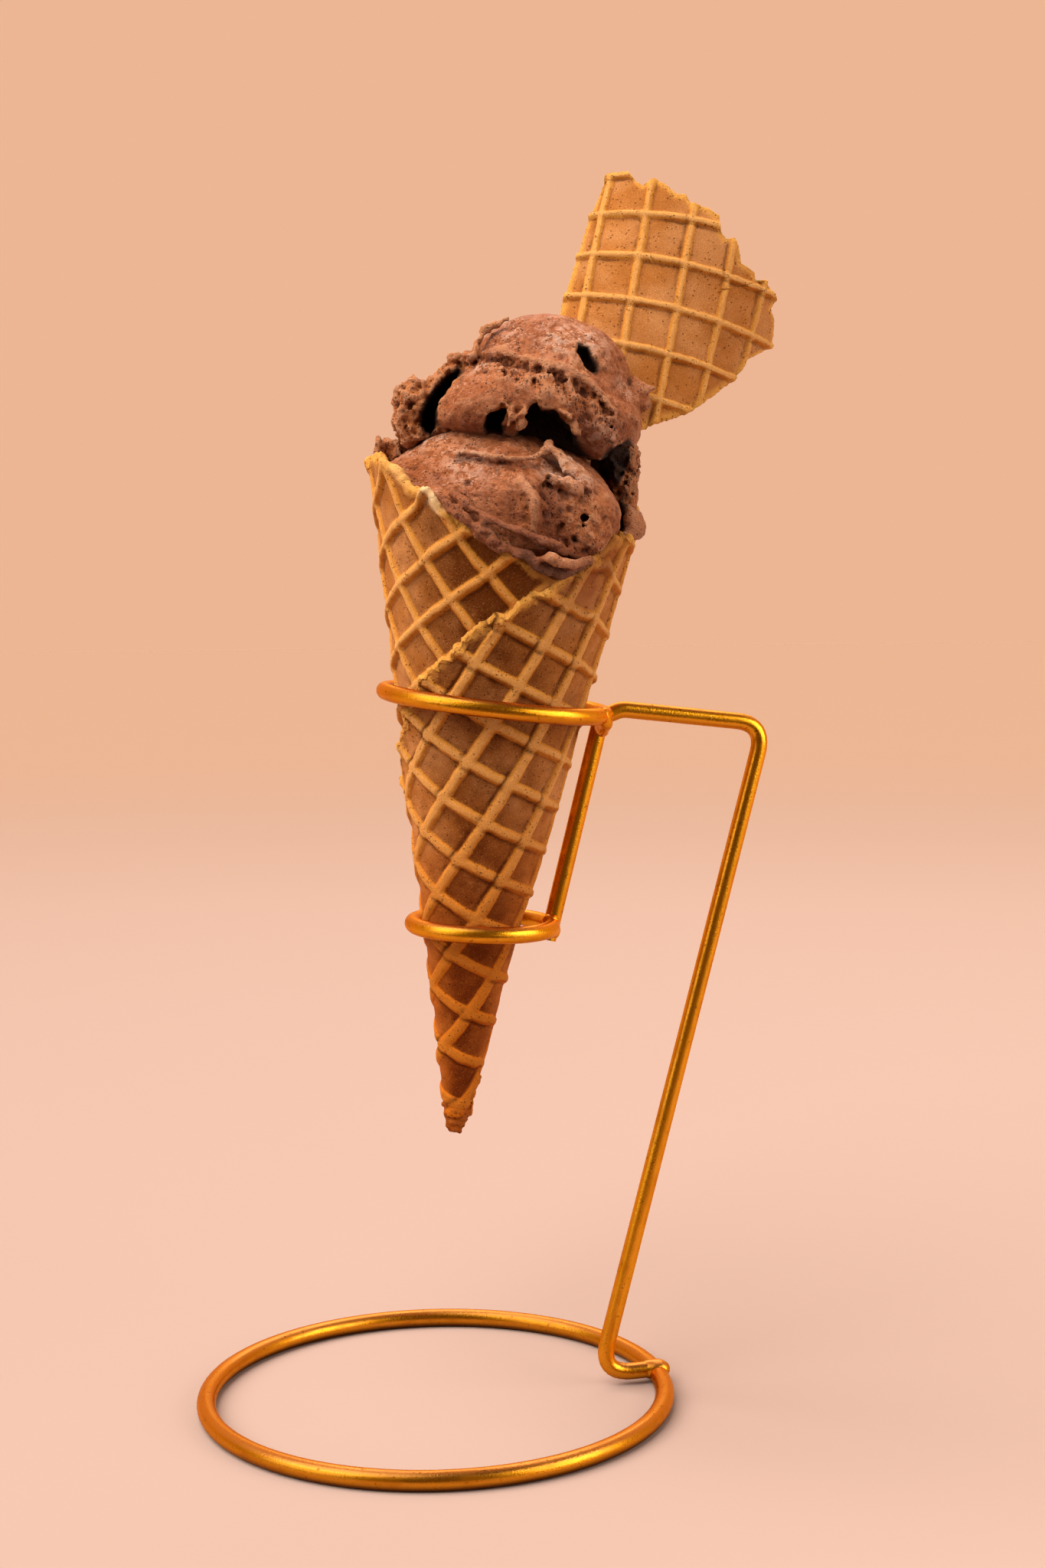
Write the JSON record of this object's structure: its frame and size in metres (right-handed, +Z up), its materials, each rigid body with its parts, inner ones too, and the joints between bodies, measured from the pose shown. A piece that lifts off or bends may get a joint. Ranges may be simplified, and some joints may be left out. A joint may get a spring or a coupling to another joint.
{
  "type": "ice cream cone in a wire stand",
  "caption": "Rolled waffle cone with scoops of chocolate ice cream and a piece of waffle stuck in them, standing in a gold wire cone holder with a round base ring.",
  "frame": {"origin": "on the floor, below the middle of the bounding box", "axes": "+Z up along the longest extent, -Y to the front, +X to the side the stand's upright is on"},
  "size_m": [0.1346, 0.108, 0.2785],
  "materials": {
    "gold_wire": "gold-coloured plating, glossy, with fine darker streaks",
    "waffle": "baked waffle: golden ribs, browner squares, matt and finely pitted",
    "chocolate_ice_cream": "chocolate ice cream: slightly moist, porous and torn"
  },
  "bodies": {
    "root": {"base_ring": "gold_wire", "upright_wire": "gold_wire", "upper_ring": "gold_wire", "strut": "gold_wire", "lower_ring": "gold_wire", "waffle_cone": "waffle", "ice_cream_lower": "chocolate_ice_cream", "ice_cream_upper": "chocolate_ice_cream", "waffle_piece": "waffle"}
  },
  "joints": []
}
